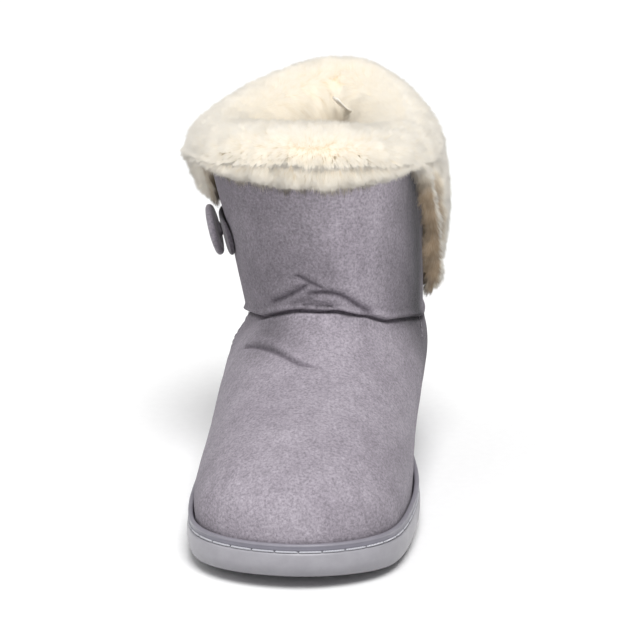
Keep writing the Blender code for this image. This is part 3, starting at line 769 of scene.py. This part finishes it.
def on_path(distance):
    """The place at a distance along the groove."""
    return [float(np.interp(distance % walked[-1], walked, loop[:, k])) for k in range(3)]


runs = [[on_path((number + share) * pitch) for share in STITCH_PLACES] for number in range(stitch_count)]
sole_stitches = thread("sole_stitches", runs, STITCH_THREAD, cotton)
print(stitch_count, "stitches of", round(pitch / MM, 2), "mm")

# %% [markdown]
# ## Fur cuff
#
# The cuff is a deep cream pile, folded over the shaft. The solid's surface is where the tips of the hairs end. So a
# hide is made first: the solid's copy, drawn in by the depth of the pile. Hairs then grow from the hide back out to
# the solid's surface and a little past it. They lie downwards on both legs of the fold, stand up along its crown and
# gather in small tufts.

# %% The hide under the pile
PILE_DEPTH = 3.8 * MM
PILE_SHARE, MOST_SHARE = 0.36, 0.45  # of the fur's thickness, where it is thin
CUFF_MIDDLE = np.array([0.0053, 0.0520])
THICK = 30.0 * MM  # fur thicker than this counts as this thick
SMOOTHINGS = 6

hide = new_piece("fur_hide", solid_copy("cuff"), [], "cuff")
round_off(hide, 1)
cuff_places, cuff_normals = points_of(hide)
cuff_tree = faces_at(hide, cuff_places)


def thickness_at(place, normal):
    """How far it is through the fur, straight in from a place on its surface."""
    hit = cuff_tree.ray_cast(Vector(place - normal * 0.0002), Vector(-normal), THICK)
    return hit[3] if hit[0] is not None else THICK


room = np.array([thickness_at(p, n) for p, n in zip(cuff_places, cuff_normals)])
sink = np.minimum(PILE_DEPTH, PILE_SHARE * room)
ends = np.array([tuple(e.vertices) for e in hide.data.edges])
for _ in range(SMOOTHINGS):
    total, count = sink.copy(), np.ones(len(sink))
    for a, b in ((0, 1), (1, 0)):
        np.add.at(total, ends[:, a], sink[ends[:, b]])
        np.add.at(count, ends[:, a], 1.0)
    sink = np.minimum(total / count, MOST_SHARE * room)
print("pile from", round(sink.min() / MM, 1), "to", round(sink.max() / MM, 1), "mm deep")

# %% Where hairs grow
HAIRS = 480_000
BARE_GAP = 2.5 * MM  # no hair grows where the suede is nearer than this
SEED = 7

rng = np.random.default_rng(SEED)
noise.seed_set(SEED)  # noise vectors would follow the clock without this
hide.data.calc_loop_triangles()
triangles = np.empty(len(hide.data.loop_triangles) * 3, dtype=int)
hide.data.loop_triangles.foreach_get("vertices", triangles)
triangles = triangles.reshape(-1, 3)
corners = cuff_places[triangles]
areas = np.linalg.norm(np.cross(corners[:, 1] - corners[:, 0], corners[:, 2] - corners[:, 0]), axis=1) / 2
faces_out = cuff_normals[triangles].mean(axis=1)
suede_tree = surface_of(suede_upper)
hidden = np.array([
    suede_tree.ray_cast(Vector(place), Vector(way / (np.linalg.norm(way) + 1e-9)), BARE_GAP)[0] is not None
    for place, way in zip(corners.mean(axis=1), faces_out)
])
weights = areas * np.where(hidden, 0.0, 1.0)
picked = rng.choice(len(triangles), HAIRS, p=weights / weights.sum())
mix = rng.random((HAIRS, 2))
mix = np.where(mix.sum(axis=1, keepdims=True) > 1, 1 - mix, mix)
shares = np.column_stack([1 - mix.sum(axis=1), mix])


def over(values):
    """A per-vertex value read at each hair."""
    if values.ndim == 1:
        return np.einsum("ij,ij->i", values[triangles[picked]], shares)
    return np.einsum("ijk,ij->ik", values[triangles[picked]], shares)


tips_here = over(cuff_places)
normals_here = over(cuff_normals)
normals_here /= np.linalg.norm(normals_here, axis=1, keepdims=True)
depth_here = over(sink)
roots = tips_here - normals_here * depth_here[:, None]
print("bare area:", round(weights.sum() * 1e4, 1), "cm2,", round(HAIRS / weights.sum() * 1e-6, 1), "hairs per mm2")

# %% [markdown]
# Tufts give the pile its look. Each hair belongs to the nearest of a few thousand tuft centres, and its tip leans
# towards that tuft's own tip. The tufts themselves lean down the slope of the fold, each a little to one side. Some
# hairs are longer, so that the outline is fuzzy, and those that face into the shoe are longest and close its mouth.

# %% Lean and gather the hairs
TUFTS = 9000
TUFT_BLUR = 0.6 * MM
TUFT_SHARE, OWN_SHARE = 0.50, 0.45  # how much a hair leans with its tuft and by itself
LONG_SHARE = 0.12
LUMP_LENGTH = 1.1 * MM
RISE, REACH_OVER = 0.93, 0.78  # how far a tip goes out and over, for each length of hair
TIP_PULL = 0.42


def unit(rows):
    """Rows scaled to length one."""
    return rows / np.maximum(np.linalg.norm(rows, axis=1, keepdims=True), 1e-9)


def down_slope(normals):
    """The way down along the surface; short where the surface is level."""
    down = np.zeros_like(normals)
    down[:, 2] = -1.0
    return down - normals * dot_rows(down, normals)[:, None]


def dot_rows(first, second):
    """The dot product of each pair of rows."""
    return np.einsum("ij,ij->i", first, second)


def vector_noise(places, scale):
    """A slowly changing vector at each place."""
    return np.array([noise.noise_vector(Vector(place) * scale) for place in places])


seeds = rng.choice(HAIRS, TUFTS, replace=False)
seed_places = tips_here[seeds]
tuft_tree = tree_of(seed_places)
tuft_of = np.array([tuft_tree.find(p)[1] for p in tips_here + rng.normal(0, TUFT_BLUR, tips_here.shape)])
swirl = vector_noise(seed_places, 60.0)
tuft_side = rng.normal(0.0, 0.22, (TUFTS, 3)) + swirl * 0.8
tuft_lean = down_slope(normals_here[seeds]) * rng.uniform(0.55, 1.0, (TUFTS, 1)) + tuft_side
tuft_tone = rng.normal(0.0, 1.0, TUFTS)

own_lean = down_slope(normals_here) + rng.normal(0.0, 0.35, tips_here.shape)
lean = TUFT_SHARE * tuft_lean[tuft_of] + OWN_SHARE * own_lean
lean -= normals_here * dot_rows(lean, normals_here)[:, None]

length = depth_here * rng.uniform(0.95, 1.30, HAIRS) + rng.uniform(0.4, 1.6, HAIRS) * MM
length += np.where(rng.random(HAIRS) < LONG_SHARE, rng.uniform(0.8, 2.2, HAIRS), 0.0) * MM
lumps = np.array([noise.noise(Vector(place) * 170.0) for place in seed_places])
length += LUMP_LENGTH * lumps[tuft_of]
inward = np.clip(-dot_rows(normals_here[:, :2], unit(tips_here[:, :2] - CUFF_MIDDLE)), 0.0, 1.0)
length += inward * rng.uniform(2.5, 8.0, HAIRS) * MM
tip_points = roots + normals_here * (length * RISE)[:, None] + lean * (length * REACH_OVER)[:, None]

tuft_tips = np.zeros((TUFTS, 3))
tuft_count = np.zeros(TUFTS)
np.add.at(tuft_tips, tuft_of, tip_points)
np.add.at(tuft_count, tuft_of, 1.0)
tuft_tips /= np.maximum(tuft_count, 1.0)[:, None]
tip_points += (tuft_tips[tuft_of] - tip_points) * TIP_PULL
print(TUFTS, "tufts of about", round(HAIRS / TUFTS), "hairs")

# %% [markdown]
# A pile looks soft because light goes on from hair to hair. So each hair is shaded by a normal that is mostly the
# cuff's own. It is turned a little with its tuft, and lifted towards the light where the fur faces in or down.

# %% Soft normals
LIFT_ALL, LIFT_INWARD, LIFT_BELOW = 0.34, 0.16, 0.30
LIFT_WAY = np.array([0.0, -0.15, 1.0])

wavy = vector_noise(seed_places, 150.0)[tuft_of]
tuft_way = unit(tuft_tips - seed_places)[tuft_of]
lift = LIFT_ALL + LIFT_INWARD * inward + LIFT_BELOW * np.clip(-normals_here[:, 2], 0.0, 1.0)
shading = normals_here + 0.36 * wavy + 0.35 * tuft_way + rng.normal(0, 0.06, roots.shape)
shading = unit(shading + lift[:, None] * LIFT_WAY)

# %% [markdown]
# A hair is a slender spike with three sides, open at its root, so that it shows a lit side from everywhere. Real
# hair lets most light through, so neither the hairs nor the hide below them cast a shadow.

# %% Hair mesh
HAIR_WIDTH = 0.36 * MM
OWN_ROUNDNESS, SOFTNESS = 0.42, 0.90  # how much of a root's normal is the hair's own and how much the soft one


def grow(name, root, tip, normal, shading, width, tone_with_painted_shade, finish):
    """One mesh of spikes with three sides; each vertex knows how far up its hair it is, and its hair's tone with
    painted shade.
    """
    count = len(root)
    way = unit(tip - root)
    side = np.cross(way, normal) + rng.normal(0.0, 0.4, root.shape)
    side = unit(side - way * dot_rows(side, way)[:, None])
    front = np.cross(way, side)
    spokes = [side * math.cos(turn) + front * math.sin(turn) for turn in (0.0, math.tau / 3, math.tau * 2 / 3)]
    rows = np.stack([root + spoke * (width / 2)[:, None] for spoke in spokes] + [tip], axis=1)
    first = np.arange(count)[:, None] * 4
    faces = np.hstack([first + np.array(corners) for corners in ((0, 1, 3), (1, 2, 3), (2, 0, 3))])
    mesh = bpy.data.meshes.new(name)
    mesh.vertices.add(count * 4)
    mesh.vertices.foreach_set("co", rows.ravel())
    mesh.loops.add(count * 9)
    mesh.loops.foreach_set("vertex_index", faces.ravel())
    mesh.polygons.add(count * 3)
    mesh.polygons.foreach_set("loop_start", np.arange(count * 3) * 3)
    mesh.update(calc_edges=True)
    mesh.polygons.foreach_set("use_smooth", np.ones(count * 3, dtype=bool))
    soft = np.stack([unit(spoke * OWN_ROUNDNESS + shading * SOFTNESS) for spoke in spokes] + [shading], axis=1)
    mesh.normals_split_custom_set_from_vertices(soft.reshape(-1, 3))
    mesh.materials.append(finish)
    made = bpy.data.objects.new(name, mesh)
    add_number(made, "up", np.tile([0.0, 0.0, 0.0, 1.0], count))
    add_number(made, "tone_with_painted_shade", np.repeat(tone_with_painted_shade, 4))
    made.visible_shadow = False
    bpy.context.scene.collection.objects.link(made)
    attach(made, "root")
    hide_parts("cuff")
    return made


# %% [markdown]
# The fur is painted tan towards the roots, as painted shade deep in the pile, and it is cream at the tips. Tone moves
# a hair towards warm cream up to 1, partly at random and partly as painted shade down the mouth, and from there to a
# tan of painted shade.

# %% Fur finish
fur, tree, shader = new_finish("cream_fur", 0.85, Sheen_Weight=0.25, Sheen_Roughness=0.6, Specular_IOR_Level=0.10)
up = add_node(tree, "ShaderNodeAttribute", set_attribute_name="up").outputs["Fac"]
tone_with_painted_shade = add_node(tree, "ShaderNodeAttribute", set_attribute_name="tone_with_painted_shade").outputs["Fac"]
# Tan towards the roots is painted shade deep in the pile.
pile_colour_with_root_shade = ramp(
    tree, up, (0.0, grey((204, 186, 158))), (0.22, grey((222, 209, 187))), (0.50, grey((232, 225, 211))),
    (0.85, grey((238, 233, 223))),
)
# Warm cream from tone, partly random and partly painted shade.
warm_tone_and_shade = blend(tree, 1.0, pile_colour_with_root_shade, (0.95, 0.91, 0.84), "MULTIPLY")
cloud = noise_field(tree, 0.010, detail=3.0)
warm_share_with_shade = add_node(tree, "ShaderNodeMath", set_operation="MULTIPLY_ADD", i0=cloud, i1=0.25, i2=tone_with_painted_shade)
warm_share_with_shade.use_clamp = True
painted_tan_share = add_node(tree, "ShaderNodeMath", set_operation="SUBTRACT", i0=tone_with_painted_shade, i1=1.0)
painted_tan_share.use_clamp = True
colour = blend(tree, warm_share_with_shade.outputs[0], pile_colour_with_root_shade, warm_tone_and_shade)
# Painted shade: tone above 1 moves towards tan.
painted_shade_tan = blend(tree, 1.0, colour, (0.42, 0.33, 0.25), "MULTIPLY")
tree.links.new(blend(tree, painted_tan_share.outputs[0], colour, painted_shade_tan), shader.inputs["Base Color"])

fur_hide_finish, tree, shader = new_finish("fur_ground", 0.95)
curls = noise_field(tree, 0.0012, detail=4.0)
wool = ramp(tree, curls, (0.3, grey((222, 202, 170))), (0.7, grey((238, 224, 198))))
tree.links.new(wool, shader.inputs["Base Color"])
add_bump(tree, shader, noise_field(tree, 0.0012), 0.0006)

# %% [markdown]
# The pile is grown zone by zone, so that no piece gets too big. Down the mouth the fur is painted warmer and deeper
# down tan, as painted shade inside the shoe, and along the flap's front edge on the inner side it is painted tan, as
# painted shade.

# %% Grow the pile
MOST_HAIRS = 66_000
MOUTH_TOP, MOUTH_DEPTH = 0.165, 0.016
FRONT_HALF, BACK_START = 62.0, 125.0  # degrees round the cuff from its front

set_points(hide, cuff_places - cuff_normals * sink[:, None])
hide.data.materials.append(fur_hide_finish)
hide.visible_shadow = False

flat = tips_here[:, :2] - CUFF_MIDDLE
turned = np.degrees(np.arctan2(flat[:, 0], -flat[:, 1]))
facing_in = dot_rows(normals_here[:, :2], flat) < -0.0002
widths = HAIR_WIDTH * rng.uniform(0.75, 1.3, HAIRS)
tones_with_painted_shade = np.clip(0.15 + 0.11 * tuft_tone[tuft_of] + rng.normal(0, 0.08, HAIRS), 0.0, 1.0)
# Painted shade: hairs facing into the shoe are painted warmer, and tan further down the mouth.
painted_mouth_shade = step_up(MOUTH_TOP - tips_here[:, 2], 0.0, MOUTH_DEPTH)
tones_with_painted_shade = np.where(facing_in, np.clip(tones_with_painted_shade + 0.25, 0.0, 1.0) + 0.80 * painted_mouth_shade, tones_with_painted_shade)
# Painted shade: tan along the flap's front edge on the inner side.
painted_edge_shade = step_up(-normals_here[:, 1], 0.20, 0.65) * step_up(tips_here[:, 0], 0.032, 0.042)
painted_edge_shade *= 1.0 - step_up(tips_here[:, 2], 0.128, 0.142)
tones_with_painted_shade = np.where(painted_edge_shade > 0.03, 1.0 + painted_edge_shade * rng.uniform(0.7, 1.1, HAIRS), tones_with_painted_shade)
zones = {
    "fur_inside": facing_in,
    "fur_front": ~facing_in & (np.abs(turned) < FRONT_HALF),
    "fur_inner_side": ~facing_in & (turned >= FRONT_HALF) & (turned < BACK_START),
    "fur_outer_side": ~facing_in & (turned <= -FRONT_HALF) & (turned > -BACK_START),
    "fur_back": ~facing_in & (np.abs(turned) >= BACK_START),
}
for zone, chosen in zones.items():
    which = np.where(chosen)[0]
    for part, some in enumerate(np.array_split(which, math.ceil(len(which) / MOST_HAIRS))):
        title = zone if part == 0 else f"{zone}_{part + 1}"
        grow(
            title, roots[some], tip_points[some], normals_here[some], shading[some], widths[some], tones_with_painted_shade[some], fur
        )
        print(title, len(some), "hairs")

# %% [markdown]
# ## Insole, button, tab and loop
#
# The insole is covered in the same short fleece as the lining, which is the upper's inner skin. The button is covered
# in grey cloth, the tab is a strip of suede painted darker as painted shade, and the loop is a plain woven cotton
# tape.

# %% Insole
fleece, tree, shader = new_finish("fleece_lining", 0.95, Sheen_Weight=0.4)
pile = noise_field(tree, 0.0022, detail=5.0, rough=0.7, swirl=0.6)
fleece_colour = ramp(tree, pile, (0.3, grey((206, 192, 168))), (0.7, grey((240, 232, 216))))
tree.links.new(fleece_colour, shader.inputs["Base Color"])
add_bump(tree, shader, pile, 0.0012)
insole = new_piece("fleece_insole", solid_copy("insole"), [fleece], "insole")
round_off(insole, 1)

# %% Lining
SHAFT_START = 50.0 * MM

suede_upper.data.materials.append(fleece)
for face in suede_upper.data.polygons:
    towards_middle = (face.center.xy - Vector(SEAM_MIDDLE)).dot(face.normal.xy) < 0.0
    if not any(outer_skin[index] for index in face.vertices) and (towards_middle or face.center.z < SHAFT_START):
        face.material_index = 1

# %% Button and tab
cloth, tree, shader = new_finish("button_cloth", 0.55, Sheen_Weight=0.2, Specular_IOR_Level=0.35)
weave = noise_field(tree, 0.0009, detail=3.0)
cloth_colour = ramp(tree, weave, (0.3, grey((118, 112, 120))), (0.7, grey((150, 144, 152))))
tree.links.new(cloth_colour, shader.inputs["Base Color"])
add_bump(tree, shader, weave, 0.0002)
# The tab's suede is painted dark grey, as painted shade round the button.
painted_shade_suede, tree, shader = new_finish("painted_shade_suede", 0.9, Sheen_Weight=0.2, Specular_IOR_Level=0.15)
nap_and_painted_light = noise_field(tree, 0.0011, detail=5.0)
tab_painted_shade = ramp(tree, nap_and_painted_light, (0.3, grey((74, 69, 76))), (0.7, grey((104, 99, 106))))
tree.links.new(tab_painted_shade, shader.inputs["Base Color"])
add_bump(tree, shader, nap_and_painted_light, 0.0003)
button = new_piece("covered_button", solid_copy("button"), [cloth], "button")
round_off(button, 1)
tab_shape = solid_copy("button_tab")
keep_sharp(tab_shape, math.radians(60))
tab = new_piece("suede_tab", tab_shape, [painted_shade_suede], "button_tab")
round_off(tab, 1)

# %% Tape loop
tape, tree, shader = new_finish("cotton_tape", 0.8, Sheen_Weight=0.2)
twill = add_node(
    tree, "ShaderNodeTexWave", Vector=place_of(tree, turn=(0.0, 0.7, 0.0)), Scale=420.0, Distortion=0.6
)
tape_colour = ramp(tree, twill.outputs["Fac"], (0.2, grey((232, 226, 214))), (0.8, grey((252, 249, 243))))
tree.links.new(tape_colour, shader.inputs["Base Color"])
add_bump(tree, shader, twill.outputs["Fac"], 0.0001)
loop_shape = solid_copy("tape_loop")
keep_sharp(loop_shape, math.radians(50))
tape_loop = new_piece("cotton_loop", loop_shape, [tape], "tape_loop")
round_off(tape_loop, 1)

# %% [markdown]
#
# The box round everything shown, but the floor, gives the dressed shoe's size, which the last line prints.

# %% Sizes and finish
bpy.context.view_layer.update()
low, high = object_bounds()
print("dressed size in mm:", [round((b - a) / MM, 1) for a, b in zip(low, high)])
